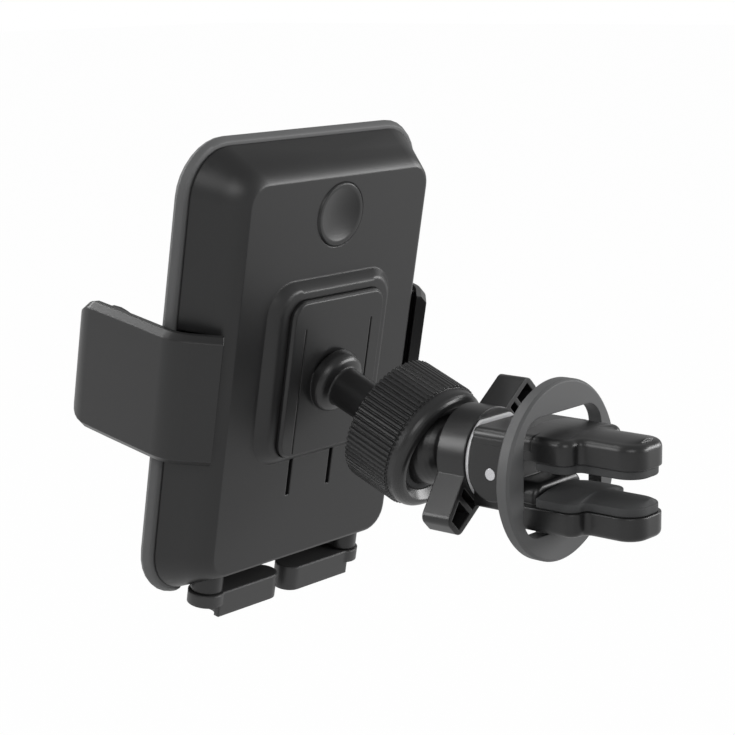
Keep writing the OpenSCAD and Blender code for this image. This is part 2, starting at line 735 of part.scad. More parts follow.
module rib_outline() {
    pitch = 360 / rib_count;
    polygon([for (k = [0:rib_count - 1]) each [
        turned([nut_r - rib_depth, 0], k * pitch), turned([nut_r, 0], (k + 0.25) * pitch),
        turned([nut_r, 0], (k + 0.6) * pitch), turned([nut_r - rib_depth, 0], (k + 0.85) * pitch)
    ]]);
}
// Clamping nut with ribs, a rounded lip and a coned mouth
module knurled_nut() {
    body = nut_r - rib_depth - 0.1;
    color(black_plastic) on_cradle() on_socket() difference() {
        union() {
            rotate_extrude($fn = 96) polygon(concat(
                [[0, nut_rear], [body - 1, nut_rear], [body, nut_rear + 1], [body, rib_end - 0.2]],
                [for (a = [0:15:90]) [body - lip_round + lip_round * cos(a), lip - lip_round + lip_round * sin(a)]],
                [[0, lip]]
            ));
            translate([0, 0, nut_rear + 0.8]) linear_extrude(rib_end - nut_rear - 0.8) rib_outline();
        }
        translate([0, 0, nut_rear - 1]) cylinder(r = nut_bore_r, h = cup_mouth + side_gap - nut_rear + 1);
        translate([0, 0, -5]) cylinder(r = mouth_r, h = 12);
        translate([0, 0, mouth]) rotate_extrude($fn = 96)
            polygon([[0, -0.2], [mouth_r - 0.02, -0.2], [mouth_r + 1.5, lip - mouth + e], [0, lip - mouth + e]]);
    }
}
// Cup liner behind the ball
module ball_seat() {
    color(grey_plastic) on_cradle() on_socket() rotate_extrude($fn = 64) polygon(concat(
        [for (a = [-78:11:-45]) [seat_out * cos(a), seat_out * sin(a)]],
        [for (a = [-45:-11:-78]) [seat_in * cos(a), seat_in * sin(a)]]
    ));
}
// Wedge ring between the ball and the nut's mouth
module pressure_ring() {
    z0 = cup_mouth + side_gap + 0.1;
    z1 = mouth - 0.3;
    color(rubber) on_cradle() on_socket() rotate_extrude($fn = 64) polygon(concat(
        [[seat_out, z1], [seat_out, z0]],
        [for (k = [0:4]) let (z = z0 + (z1 - z0) * k / 4) [sqrt(pow(seat_in, 2) - z * z), z]]
    ));
}

// Ball, neck, flange and stud, along the clip's axis
module ball_arm() {
    neck_y = ball_y - sqrt(pow(ball_r, 2) - pow(neck_r, 2));
    color(black_plastic) translate([0, ball_y, 0]) rotate([90, 0, 0]) rotate_extrude($fn = 64)
        polygon(concat(
            [for (a = [-90:7.5:45]) [ball_r * cos(a), ball_r * sin(a)]],
            [[ball_r * cos(50), ball_r * sin(50)], [neck_r, ball_r * 0.83]],
            [[neck_r, ball_y - collar_y1 - 0.9], [neck_r + 1, ball_y - collar_y1 - 0.1],
             [stud_r, ball_y - collar_y1 - 0.1], [stud_r, ball_y - stud_end - 0.4],
             [stud_r - 0.4, ball_y - stud_end], [0, ball_y - stud_end]]
        ));
}

// Turning nut with two tapered, cored wings: half thickness on each side at a reach
function wing_up(x) = 5.05 - 0.156 * x;
function wing_low(x) = 0.208 * x - 6.86;
module wing_pocket(x0, x1, skin_t) {
    polygon([[x0, wing_low(x0) + skin_t], [x1, wing_low(x1) + skin_t], [x1, wing_up(x1) - skin_t], [x0, wing_up(x0) - skin_t]]);
}
module wing_nut() {
    lean = 45;
    skin_t = 1.2;
    tip_r = 1.8;
    pocket = 4.6;
    rib_at = 12.5;
    tip_x = wing_reach - tip_r;
    color(black_plastic) difference() {
        union() {
            bar_y(collar_r, collar_y0, collar_y1);
            for (t = [0, 180]) rotate([0, -lean + t, 0]) along_y(collar_y0 + 0.02, collar_y1 - 0.02)
                polygon(concat(
                    [[0, wing_up(0)], [0, wing_low(0)]],
                    [for (a = [-80:16:0]) [tip_x + tip_r * cos(a), wing_low(tip_x) + tip_r + tip_r * sin(a)]],
                    [for (a = [0:16:80]) [tip_x + tip_r * cos(a), wing_up(tip_x) - tip_r + tip_r * sin(a)]]
                ));
        }
        for (t = [0, 180]) rotate([0, -lean + t, 0]) along_y(collar_y0 - 1, collar_y0 + pocket) {
            wing_pocket(collar_r + 0.3, rib_at - 0.5, skin_t);
            wing_pocket(rib_at + 0.6, wing_reach - skin_t, skin_t);
        }
        bar_y(stud_r + running_gap, collar_y0 - 1, collar_y1 + 1);
    }
}
module thrust_washer() {
    color("#eceded") difference() {
        bar_y(washer_r, washer_y0, washer_y0 + washer_t);
        bar_y(stud_r + running_gap, washer_y0 - 1, washer_y0 + washer_t + 1);
    }
}

// Half width of a jaw at a distance past the ring: broad lobe, waist, narrow lobe, round tip
function jaw_half(y) =
    y > lobe_y + 2 ? jaw_w / 2 - 0.05 * pow(max(0, -y - 4.5), 2) :
    y > lobe_y - 2 ? let (q = (lobe_y + 2 - y) / 4)
        jaw_w / 2 - 0.4 - (jaw_w - jaw_tip_w - 0.4) / 2 * (1 - cos(180 * q)) / 2 :
    let (r = jaw_tip_w / 2, over = max(0, -(jaw_reach - r) - y))
        sqrt(max(0, r * r - over * over)) - 0.2 * (over > 0 ? 0 : 1 - cos(90 * min(1, (y + jaw_reach - r) / 8)));
function jaw_stations() = concat(
    [for (y = [jaw_root_y, 1, -3, -5, -6.5]) y],
    [for (k = [0:6]) lobe_y + 2 - 4 * k / 6],
    [for (k = [1:3]) lobe_y - 2 - (jaw_reach - jaw_tip_w / 2 + lobe_y - 2) * k / 3],
    [for (a = [15:15:75]) -(jaw_reach - jaw_tip_w / 2) - jaw_tip_w / 2 * sin(a)]
);
// Jaw outline in plan, smaller by inset all round
module jaw_outline(inset, back) {
    s = [for (y = jaw_stations()) if (y <= back) y];
    polygon(concat(
        [[jaw_half(back) - inset, back]],
        [for (y = s) [max(0.4, jaw_half(y) - inset), y + (y < lobe_y ? inset * (lobe_y - y) / (jaw_reach + lobe_y) : 0)]],
        [for (k = [len(s) - 1:-1:0]) let (y = s[k])
            [-max(0.4, jaw_half(y) - inset), y + (y < lobe_y ? inset * (lobe_y - y) / (jaw_reach + lobe_y) : 0)]],
        [[inset - jaw_half(back), back]]
    ));
}
// Jaw shell between two heights, with its outer face set in by stepped rings to round the edge
module jaw_shell(z0, z1, up) {
    edge = jaw_edge;
    h = z1 - z0;
    rings = [[0, h - edge, 0], [h - edge, 0.45 * edge, 0.3], [h - 0.55 * edge, 0.55 * edge, 0.75]];
    for (v = rings) let (more = v[0] < h - 0.6 * edge ? e : 0)
        translate([0, 0, up ? z0 + v[0] : z1 - v[0] - v[1] - more])
            linear_extrude(v[1] + more) jaw_outline(v[2] * edge, jaw_root_y);
}

module lower_jaw() {
    color(black_plastic) difference() {
        union() {
            jaw_shell(lower_z0, lower_z1, false);
            translate([-block_hw, block_step_y, block_lo])
                cube([2 * block_hw, block_y1 - block_step_y, block_hi - block_lo]);
            translate([-block_hw, 0.8, block_lo]) cube([2 * block_hw, block_step_y, lower_pad_z + 2.2 - block_lo]);
        }
        bar_y(stud_r + 0.02, stud_end - 0.1, block_y1 + 1);
        bar_x(pin_r + 0.02, -block_hw - 1, block_hw + 1, pin_y, pin_z);
        for (s = [-1, 1]) bar_x(torsion_r + torsion_wire + 0.4, s * torsion_x - 1.5, s * torsion_x + 1.5, pin_y, pin_z);
        translate([-torsion_x - 1.5, pin_y - 1, pin_z]) cube([3, 2, 12]);
        translate([torsion_x - 1.5, pin_y - 1, pin_z]) cube([3, 2, 12]);
        translate([-tab_hw - side_gap, 0, lower_z0 - 1])
            cube([2 * (tab_hw + side_gap), 9.2, 1 + block_lo - lower_z0 + tab_t + side_gap]);
    }
}
module upper_jaw() {
    color(black_plastic) difference() {
        union() {
            jaw_shell(upper_z0, upper_z1, true);
            for (s = [-1, 1]) {
                bar_x(ear_r, s > 0 ? ear_x0 : -ear_x1, s > 0 ? ear_x1 : -ear_x0, pin_y, pin_z);
                along_x(s > 0 ? ear_x0 : -ear_x1, s > 0 ? ear_x1 : -ear_x0) polygon([
                    [pin_y - ear_r, pin_z], [pin_y + ear_r, pin_z], [pin_y + ear_r - 0.8, ear_top - 1.6],
                    [pin_y + ear_r - 1, ear_top - 1], [3.4, ear_top - 1], [3.4, upper_z0]
                ]);
            }
            along_y(3.4, pin_y + ear_r - 1) polygon([
                [-ear_x1, ear_plate], [-ear_x1, ear_top - 1.7], [-ear_x1 + 1.4, ear_top],
                [ear_x1 - 1.4, ear_top], [ear_x1, ear_top - 1.7], [ear_x1, ear_plate]
            ]);
        }
        bar_x(pin_r + running_gap, -ear_x1 - 1, ear_x1 + 1, pin_y, pin_z);
    }
}
module jaw_pad(z0) {
    color(grey_plastic) translate([0, 0, z0]) linear_extrude(jaw_pad_t) jaw_outline(0.5, 0.6);
}
module pivot_pin() {
    color(bright_metal) bar_x(pin_r, -ear_x1 - 0.1, ear_x1 + 0.1, pin_y, pin_z);
}
module jaw_spring() {
    half = torsion_turns * torsion_pitch / 2 + torsion_wire;
    color(bright_metal) for (s = [-1, 1]) translate([s * torsion_x - half, pin_y, pin_z]) rotate([0, 90, 0])
        coil(torsion_r - torsion_wire, torsion_wire, torsion_turns, 2 * half);
}

// Round plate that bears on the vent, with a tab under the clip's block
module stabilising_ring() {
    edge = 0.5;
    open_lo = ring_open_mid - ring_open_h / 2;
    color(grey_plastic) union() {
        difference() {
            translate([0, 0, ring_mid]) rotate([-90, 0, 0]) rotate_extrude($fn = 96) polygon([
                [0, 0], [ring_r - edge, 0], [ring_r, edge], [ring_r, ring_t - edge],
                [ring_r - edge, ring_t], [0, ring_t]
            ]);
            along_y(-1, ring_t + 1) translate([0, ring_open_mid]) rounded(ring_open_w, ring_open_h, 5.2);
        }
        translate([-tab_hw, 1.6, open_lo - e]) cube([2 * tab_hw, ring_t - 1.6, block_lo + tab_t - open_lo]);
        translate([-tab_hw, 1.6, block_lo]) cube([2 * tab_hw, 7.2, tab_t]);
    }
}

on_cradle() rear_housing();
on_cradle() front_frame();
on_cradle() front_pad();
on_cradle() housing_screws();
on_cradle() release_button();
on_cradle() button_spring();
on_cradle() latch_lever();
on_cradle() latch_pin();
on_cradle() on_left() arm();  // left_arm
on_cradle() on_right() arm();  // right_arm
on_cradle() on_left() arm_pad();  // left_arm_pad
on_cradle() on_right() arm_pad();  // right_arm_pad
on_cradle() pinion_gear();
on_cradle() gear_screw();
on_cradle() arm_spring();
on_cradle() foot_slider();
on_cradle() translate([-post_x, post_y, 0]) foot();  // left_foot
on_cradle() translate([post_x, post_y, 0]) mirror([1, 0, 0]) foot();  // right_foot
on_cradle() foot_screws();
on_cradle() socket_plate();
knurled_nut();
ball_seat();
pressure_ring();
ball_arm();
wing_nut();
thrust_washer();
lower_jaw();
upper_jaw();
pivot_pin();
jaw_pad(upper_pad_z);  // upper_jaw_pad
jaw_pad(lower_z1);  // lower_jaw_pad
jaw_spring();
stabilising_ring();
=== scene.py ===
"""Looks of a phone holder for a car's air vent.

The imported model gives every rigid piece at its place. This script dresses those pieces in moulded
plastic, rubber and metal, adds the finer surfaces that the camera sees, and sets up a pale studio
with the camera at the photograph's angle. Lengths are in metres, in the model's own frame: -Y goes
into the vent, +Y towards the phone, +Z up. Outlines and slabs are worked out in millimetres.
"""
import json
import math

import bmesh
import bpy
import numpy as np
from mathutils import Matrix, Vector


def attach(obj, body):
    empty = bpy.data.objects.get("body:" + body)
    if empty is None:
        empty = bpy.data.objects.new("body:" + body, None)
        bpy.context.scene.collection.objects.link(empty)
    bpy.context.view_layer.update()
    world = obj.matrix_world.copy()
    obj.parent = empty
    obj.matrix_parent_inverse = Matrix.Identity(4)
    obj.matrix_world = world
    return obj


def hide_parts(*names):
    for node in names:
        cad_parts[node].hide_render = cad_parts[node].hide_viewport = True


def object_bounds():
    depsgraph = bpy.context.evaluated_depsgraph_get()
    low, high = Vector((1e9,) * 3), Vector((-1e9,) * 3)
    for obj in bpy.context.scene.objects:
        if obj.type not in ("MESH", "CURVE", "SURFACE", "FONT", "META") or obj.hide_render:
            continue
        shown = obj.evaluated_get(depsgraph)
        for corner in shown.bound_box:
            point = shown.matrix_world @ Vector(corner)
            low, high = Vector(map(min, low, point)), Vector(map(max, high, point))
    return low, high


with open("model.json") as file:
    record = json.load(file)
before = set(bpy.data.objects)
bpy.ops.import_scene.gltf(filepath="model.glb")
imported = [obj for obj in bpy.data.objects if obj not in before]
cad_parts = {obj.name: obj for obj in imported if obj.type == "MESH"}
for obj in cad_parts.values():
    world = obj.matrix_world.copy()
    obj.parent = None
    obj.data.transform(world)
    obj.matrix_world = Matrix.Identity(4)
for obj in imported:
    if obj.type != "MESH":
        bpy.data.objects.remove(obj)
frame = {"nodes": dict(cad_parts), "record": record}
nodes = frame["nodes"]
cad_box = [list(map(float, corner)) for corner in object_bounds()]
bodies = frame["record"]["behaviour"]["bodies"]
body_of = {node: body for body, members in bodies.items() for node in members}

MM = 1000.0
MERGE_DISTANCE = 2e-6
WHITE = (1.0, 1.0, 1.0, 1.0)

# The cradle leans back on the ball. Its own origin is on its back, BACK_Y and BACK_Z from the
# ball.
LEAN = math.radians(10.5)
BALL_Y, BACK_Y, BACK_Z = 34.0, 31.4, 6.8

# The housing's flat back is a rounded rectangle, and slopes run from it down to the rim.
BACK_HALF = np.array([27.6, 42.8])
BACK_CORNER = 4.7
SLOPE_DEPTH = 9.35
SLOPE_RUN = (6.2, 5.1)
SLOPE_SPREAD, SLOPE_HEIGHT = (-0.3, 6.3), (-0.05, 9.9)
FOLD_START, FOLD_RISE, FOLD_WIDTH = 0.42, 0.58, 3.7
FOLD_CUTS = (1.9, 2.8, 3.7)

# Steps in the jaws' plan, from the broad lobe to the narrow one, and the pads' thickness.
UPPER_STEP, LOWER_STEP = -8.0, -9.6
PAD_THICKNESS = 1.8
PLAN_STEP, FINE_STEP = 0.35, 0.3
EDGE_STEPS, CROWN_STEPS = 7, 8


class Signal:
    """A node's output that takes part in Python sums: each operator adds the Math node it means."""

    def __init__(self, wiring, socket):
        self.wiring = wiring
        self.socket = socket

    def __add__(self, other):
        return self.wiring.maths("ADD", self, other)

    def __mul__(self, other):
        return self.wiring.maths("MULTIPLY", self, other)

    __radd__ = __add__
    __rmul__ = __mul__

    def held(self, low=0.0, high=1.0):
        """The same signal kept between two limits."""
        return self.wiring.maths("MINIMUM", self.wiring.maths("MAXIMUM", self, low), high)

    def smooth(self, low, high):
        """0 below low, 1 above high, and an S-shaped rise between them."""
        return self.wiring.node("ShaderNodeMapRange", {"interpolation_type": "SMOOTHSTEP"},
                                {"Value": self, "From Min": low, "From Max": high})


class Wiring:
    """A node tree under construction, emptied and then given its output node."""

    def __init__(self, tree, end):
        self.tree = tree
        self.tree.nodes.clear()
        self.end = self.tree.nodes.new(end)

    def put(self, socket, value):
        """Gives a socket a number, a colour or another node's signal."""
        if isinstance(value, Signal):
            self.tree.links.new(value.socket, socket)
        elif isinstance(value, (tuple, list)) and len(value) == 3 and socket.type == "RGBA":
            socket.default_value = (*value, 1.0)
        else:
            socket.default_value = value

    def node(self, kind, settings=None, inputs=None, out=0):
        """Adds a node, sets its options and then its sockets, and returns one of its outputs."""
        made = self.tree.nodes.new(kind)
        for key, value in (settings or {}).items():
            setattr(made, key, value)
        for key, value in (inputs or {}).items():
            self.put(made.inputs[key], value)
        return Signal(self, made.outputs[out])

    def maths(self, operation, first, second):
        """A Math node on two numbers or signals."""
        return self.node("ShaderNodeMath", {"operation": operation}, {0: first, 1: second})

    def ray(self, kind):
        """1 for rays of one kind and 0 for the others."""
        return self.node("ShaderNodeLightPath", out=kind)

    def blend(self, share, first, second):
        """Sends a share of the second shader and the rest of the first one to the output."""
        mix = self.node("ShaderNodeMixShader", None, {0: share, 1: first, 2: second})
        self.put(self.end.inputs["Surface"], mix)


class Finish(Wiring):
    """A material under construction, with one Principled shader at its end."""

    def __init__(self, name, **settings):
        self.material = bpy.data.materials.new(name)
        self.material.use_nodes = True
        super().__init__(self.material.node_tree, "ShaderNodeOutputMaterial")
        self.shader = self.tree.nodes.new("ShaderNodeBsdfPrincipled")
        self.tree.links.new(self.shader.outputs[0], self.end.inputs["Surface"])
        self.surface(**settings)

    def mixed(self, share, low, high):
        """Colour between two colours by a share from 0 to 1."""
        return self.node("ShaderNodeMix", {"data_type": "RGBA"},
                         {"Factor": share, 6: (*low, 1.0), 7: (*high, 1.0)}, out=2)

    def grain(self, scale, detail=2.0, roughness=0.5):
        """Cloudy noise on the piece, scale in lumps to the metre."""
        at = self.node("ShaderNodeTexCoord", out="Object")
        return self.node("ShaderNodeTexNoise", None,
                         {"Vector": at, "Scale": scale, "Detail": detail, "Roughness": roughness})

    def edges(self, radius):
        """Normals rounded over edges by a radius."""
        return self.node("ShaderNodeBevel", {"samples": 6}, {"Radius": radius})

    def bump(self, height, depth, strength, normal):
        """Normals of a relief of a depth in metres, on top of the given normals."""
        return self.node("ShaderNodeBump", None, {"Height": height, "Distance": depth,
                                                  "Strength": strength, "Normal": normal})

    def surface(self, **settings):
        """Gives the shader's sockets, named with _ for a space, their values or signals."""
        for key, value in settings.items():
            self.put(self.shader.inputs[key.replace("_", " ")], value)
        return self.material


def moulded(name, dark, light, rough, edge, grain_depth, specular=0.5):
    """Moulded plastic or rubber: fine grain from the mould, slow drift of gloss, rounded edges."""
    f = Finish(name, Specular_IOR_Level=specular)
    fine = f.grain(3200.0, 3.0, 0.6)
    drift = f.grain(38.0, 2.0)
    tone = (drift * 0.6 + fine * 0.4).held()
    rounded = f.edges(edge)
    skin = f.bump(fine, grain_depth, 0.5, rounded)
    return f.surface(
        Base_Color=f.mixed(tone, dark, light),
        Roughness=(rough - 0.05 + drift * 0.1 + fine * 0.06).held(0.05, 1.0),
        Normal=skin)


def metal(name, colour, rough, edge):
    """Turned or rolled metal with fine marks."""
    f = Finish(name, Metallic=1.0, Base_Color=colour)
    marks = f.grain(2600.0, 2.0)
    return f.surface(Roughness=(rough + marks * 0.12).held(0.05, 1.0),
                     Normal=f.bump(marks, 0.00001, 0.4, f.edges(edge)))


black = moulded("black moulded plastic", (0.0105, 0.0105, 0.0108), (0.0155, 0.0155, 0.0158),
                rough=0.34, edge=0.0005, grain_depth=0.000014)
black_soft = moulded("black satin plastic", (0.011, 0.011, 0.0113), (0.0165, 0.0165, 0.0168),
                     rough=0.29, edge=0.0004, grain_depth=0.000008)
# The nut's black is a lighter copy of the moulded black, so the nut reads brighter than its
# lighting makes it: painted light.
black_nut_painted_light = moulded("black nut plastic lightened as painted light", (0.014, 0.014, 0.0143), (0.02, 0.02, 0.0203),
                    rough=0.26, edge=0.00025, grain_depth=0.000006)
# The feet's black is a lighter copy of the moulded black, lifting the feet out of the shade under
# the cradle: painted light.
black_foot_painted_light = moulded("black foot plastic lightened as painted light", (0.028, 0.028, 0.0283), (0.036, 0.036, 0.0363),
                     rough=0.38, edge=0.0009, grain_depth=0.000012)
grey = moulded("grey moulded plastic", (0.104, 0.105, 0.106), (0.122, 0.123, 0.124),
               rough=0.52, edge=0.0004, grain_depth=0.00002)
ring_grey = moulded("grey ring plastic", (0.078, 0.079, 0.080), (0.092, 0.093, 0.094),
                    rough=0.5, edge=0.0003, grain_depth=0.00002)
pad_grey = moulded("grey pad rubber", (0.052, 0.053, 0.054), (0.066, 0.067, 0.068),
                   rough=0.72, edge=0.0003, grain_depth=0.00003, specular=0.3)
rest_rubber = moulded("black pad rubber", (0.018, 0.018, 0.019), (0.026, 0.026, 0.027),
                      rough=0.78, edge=0.0002, grain_depth=0.00003, specular=0.3)
inner = moulded("natural gear plastic", (0.25, 0.25, 0.24), (0.3, 0.3, 0.29),
                rough=0.5, edge=0.0001, grain_depth=0.00001)
white_nylon = moulded("white washer nylon", (0.72, 0.72, 0.73), (0.8, 0.8, 0.81),
                      rough=0.3, edge=0.00015, grain_depth=0.00001)
steel = metal("bright steel", (0.62, 0.62, 0.64), rough=0.22, edge=0.00015)

finish_of = {
    "rear_housing": black, "front_frame": grey, "front_pad": rest_rubber, "housing_screws": steel,
    "release_button": black_soft, "button_spring": steel, "latch_lever": inner, "latch_pin": steel,
    "left_arm": black_soft, "right_arm": black_soft, "left_arm_pad": pad_grey,
    "right_arm_pad": pad_grey, "pinion_gear": inner, "gear_screw": steel, "arm_spring": steel,
    "foot_slider": black, "left_foot": black_foot_painted_light, "right_foot": black_foot_painted_light, "foot_screws": steel,
    "socket_plate": black_soft, "knurled_nut": black_nut_painted_light, "ball_seat": inner,
    "pressure_ring": pad_grey, "ball_arm": black_soft, "wing_nut": black_soft,
    "thrust_washer": white_nylon, "lower_jaw": black, "upper_jaw": black, "pivot_pin": steel,
    "upper_jaw_pad": pad_grey, "lower_jaw_pad": pad_grey, "jaw_spring": steel,
    "stabilising_ring": ring_grey,
}
for name, material in finish_of.items():
    mesh = nodes[name].data
    mesh.materials.clear()
    mesh.materials.append(material)


def cradle_place(points):
    """Millimetres in the cradle's own frame, Y through its back, to metres in the model's.

    The point is moved by the ball's distance, turned by LEAN about X and moved along Y to the ball.
    """
    x, y, z = points[..., 0], points[..., 1] + BACK_Y, points[..., 2] + BACK_Z
    return np.stack([x, BALL_Y + y * math.cos(LEAN) - z * math.sin(LEAN),
                     y * math.sin(LEAN) + z * math.cos(LEAN)], -1) / MM


def cradle_local(points):
    """The reverse of cradle_place."""
    x, y, z = points[..., 0] * MM, points[..., 1] * MM - BALL_Y, points[..., 2] * MM
    return np.stack([x, y * math.cos(LEAN) + z * math.sin(LEAN) - BACK_Y,
                     z * math.cos(LEAN) - y * math.sin(LEAN) - BACK_Z], -1)


def corner_normals(mesh, angle):
    """One normal to each face corner, led by the largest flat area that meets there.

    With A_j the whole coplanar area of face j and n_j its normal, a corner of face i gets
    n = sum of A_j^2 n_j over the faces j round its vertex with n_j . n_i > cos(angle), made unit.
    Faces are coplanar where their normals agree to 1/400 and their planes to 0.05 mm. Returns the
    corners' normals, their faces' normals and their vertices.
    """
    count = len(mesh.polygons)
    flat = np.empty(count * 3)
    mesh.polygons.foreach_get("normal", flat)
    normal = flat.reshape(-1, 3)
    area = np.empty(count)
    mesh.polygons.foreach_get("area", area)
    centre = np.empty(count * 3)
    mesh.polygons.foreach_get("center", centre)
    lift = (centre.reshape(-1, 3) * normal).sum(1)
    key = np.round(np.column_stack([normal * 400.0, lift * 20000.0])).astype(np.int64)
    group = np.unique(key, axis=0, return_inverse=True)[1].reshape(-1)
    whole = np.bincount(group, weights=area)[group]
    loops = len(mesh.loops)
    vertex = np.empty(loops, dtype=np.int64)
    mesh.loops.foreach_get("vertex_index", vertex)
    size = np.empty(count, dtype=np.int64)
    mesh.polygons.foreach_get("loop_total", size)
    face = np.repeat(np.arange(count), size)
    faces = face[np.argsort(vertex, kind="stable")]
    valence = np.bincount(vertex, minlength=len(mesh.vertices))
    start = np.concatenate([[0], np.cumsum(valence)[:-1]])
    reps = valence[vertex]
    own = np.repeat(np.arange(loops), reps)
    step = np.arange(reps.sum()) - np.repeat(np.cumsum(reps) - reps, reps)
    other = faces[np.repeat(start[vertex], reps) + step]
    close = (normal[face[own]] * normal[other]).sum(1) > math.cos(math.radians(angle))
    weight = np.where(close, whole[other] ** 2, 0.0)[:, None] * normal[other]
    total = np.stack([np.bincount(own, weights=weight[:, k], minlength=loops) for k in range(3)], 1)
    length = np.linalg.norm(total, axis=1, keepdims=True)
    corners = np.where(length > 1e-12, total / np.maximum(length, 1e-12), normal[face])
    return corners, normal[face], vertex


def soft_fold(mesh, normals, faces, vertex):
    """Normals of the housing whose slopes bulge towards the fold, as the moulded shell's do.

    d is the distance outside the flat back's rounded rectangle. There the normal leans outwards by
    phi = phi1 * min(1, FOLD_START + FOLD_RISE * d / FOLD_WIDTH), where phi1 is the slope's own
    lean. Only corners on the slopes' outer side, whose face looks about the same way, are changed.
    """
    at = np.empty(len(mesh.vertices) * 3)
    mesh.vertices.foreach_get("co", at)
    local = cradle_local(at.reshape(-1, 3))[vertex]
    turned = cradle_local(faces / MM) - cradle_local(np.zeros(3))
    past = np.abs(local[:, [0, 2]]) - (BACK_HALF - BACK_CORNER)
    out = np.maximum(past, 0.0)
    reach = np.linalg.norm(out, axis=1)
    d = reach + np.minimum(past.max(1), 0.0) - BACK_CORNER
    side = np.where(reach[:, None] > 1e-6, out / np.maximum(reach[:, None], 1e-6),
                    np.where((past[:, :1] > past[:, 1:]), [[1.0, 0.0]], [[0.0, 1.0]]))
    phi1 = (np.arctan(SLOPE_DEPTH / SLOPE_RUN[0]) * side[:, 0] ** 2
            + np.arctan(SLOPE_DEPTH / SLOPE_RUN[1]) * side[:, 1] ** 2)
    rise = FOLD_START + FOLD_RISE * np.maximum(d, 0.0) / FOLD_WIDTH
    phi = phi1 * np.minimum(1.0, rise)
    sign = np.sign(local[:, [0, 2]])
    wanted = np.stack([side[:, 0] * sign[:, 0] * np.sin(phi), -np.cos(phi),
                       side[:, 1] * sign[:, 1] * np.sin(phi)], 1)
    outer = ((d > SLOPE_SPREAD[0]) & (d < SLOPE_SPREAD[1])
             & (local[:, 1] > SLOPE_HEIGHT[0]) & (local[:, 1] < SLOPE_HEIGHT[1])
             & ((turned * wanted).sum(1) > 0.5) & (turned[:, 1] > -0.999))
    placed = cradle_place(wanted) - cradle_place(np.zeros(3))
    placed /= np.linalg.norm(placed, axis=1, keepdims=True)
    return np.where(outer[:, None], placed, normals)


def fold_cuts():
    """Planes along the slopes, each a point and a direction, that soft_fold's corners lie on."""
    cuts = []
    for inset in FOLD_CUTS:
        for sign in (-1.0, 1.0):
            for axis, half in zip((0, 2), BACK_HALF):
                way = np.eye(3)[axis]
                spot = sign * (half + inset) * way
                at = cradle_place(spot)
                cuts.append((Vector(at), Vector(cradle_place(spot + way) - at).normalized()))
    return cuts


def dressed(piece_name, mesh, node):
    """Puts a mesh in the scene as a piece that stands in for a node and moves with its body."""
    piece = bpy.data.objects.new(piece_name, mesh)
    bpy.context.scene.collection.objects.link(piece)
    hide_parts(node)
    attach(piece, body_of[node])


def smoothed(name, angle=36.0, cuts=(), shaped=None):
    """A node's solid with its loose triangles joined, shaded as one skin wherever two faces meet at
    less than an angle in degrees, with the larger flats deciding the normals."""
    mesh = nodes[name].data.copy()
    work = bmesh.new()
    work.from_mesh(mesh)
    bmesh.ops.remove_doubles(work, verts=work.verts, dist=MERGE_DISTANCE)
    bmesh.ops.dissolve_degenerate(work, edges=work.edges, dist=1e-6)
    for point, direction in cuts:
        whole = work.verts[:] + work.edges[:] + work.faces[:]
        bmesh.ops.bisect_plane(work, geom=whole, dist=1e-7, plane_co=point, plane_no=direction)
    bmesh.ops.triangulate(work, faces=[face for face in work.faces if len(face.verts) > 3])
    work.to_mesh(mesh)
    work.free()
    mesh.polygons.foreach_set("use_smooth", np.ones(len(mesh.polygons), dtype=bool))
    normals, faces, vertex = corner_normals(mesh, angle)
    if shaped is not None:
        normals = shaped(mesh, normals, faces, vertex)
    mesh.normals_split_custom_set(normals)
    dressed("smooth_" + name, mesh, name)


smoothed("rear_housing", cuts=fold_cuts(), shaped=soft_fold)
for name in ("front_frame", "socket_plate", "release_button", "left_arm", "right_arm",
             "left_foot", "right_foot", "foot_slider", "ball_arm", "wing_nut",
             "stabilising_ring", "left_arm_pad", "right_arm_pad", "pivot_pin", "front_pad"):
    smoothed(name)
smoothed("knurled_nut", angle=24.0)


def arc(centre, radius, start, end, steps):
    """Points on a circle: centre + radius * (cos a, sin a), a even from start to end in degrees."""
    a = np.radians(np.linspace(start, end, steps))
    return np.stack([centre[0] + radius * np.cos(a), centre[1] + radius * np.sin(a)], 1)


def spread(corners, step):
    """The same closed outline with points at an even step along it.

    Both coordinates are read off as straight runs between the corners, by length along the loop.
    """
    loop = np.vstack([corners, corners[:1]])
    run = np.concatenate([[0.0], np.cumsum(np.linalg.norm(np.diff(loop, axis=0), axis=1))])
    count = int(run[-1] / step)
    at = np.arange(count) * run[-1] / count
    return np.stack([np.interp(at, run, loop[:, k]) for k in range(2)], 1)


def keel(outline):
    """A spine along x = 0, level with each point."""
    return outline * [0.0, 1.0]


def centred(outline):
    """A spine that is one point in the outline's middle."""
    return np.broadcast_to(outline.mean(0), outline.shape)


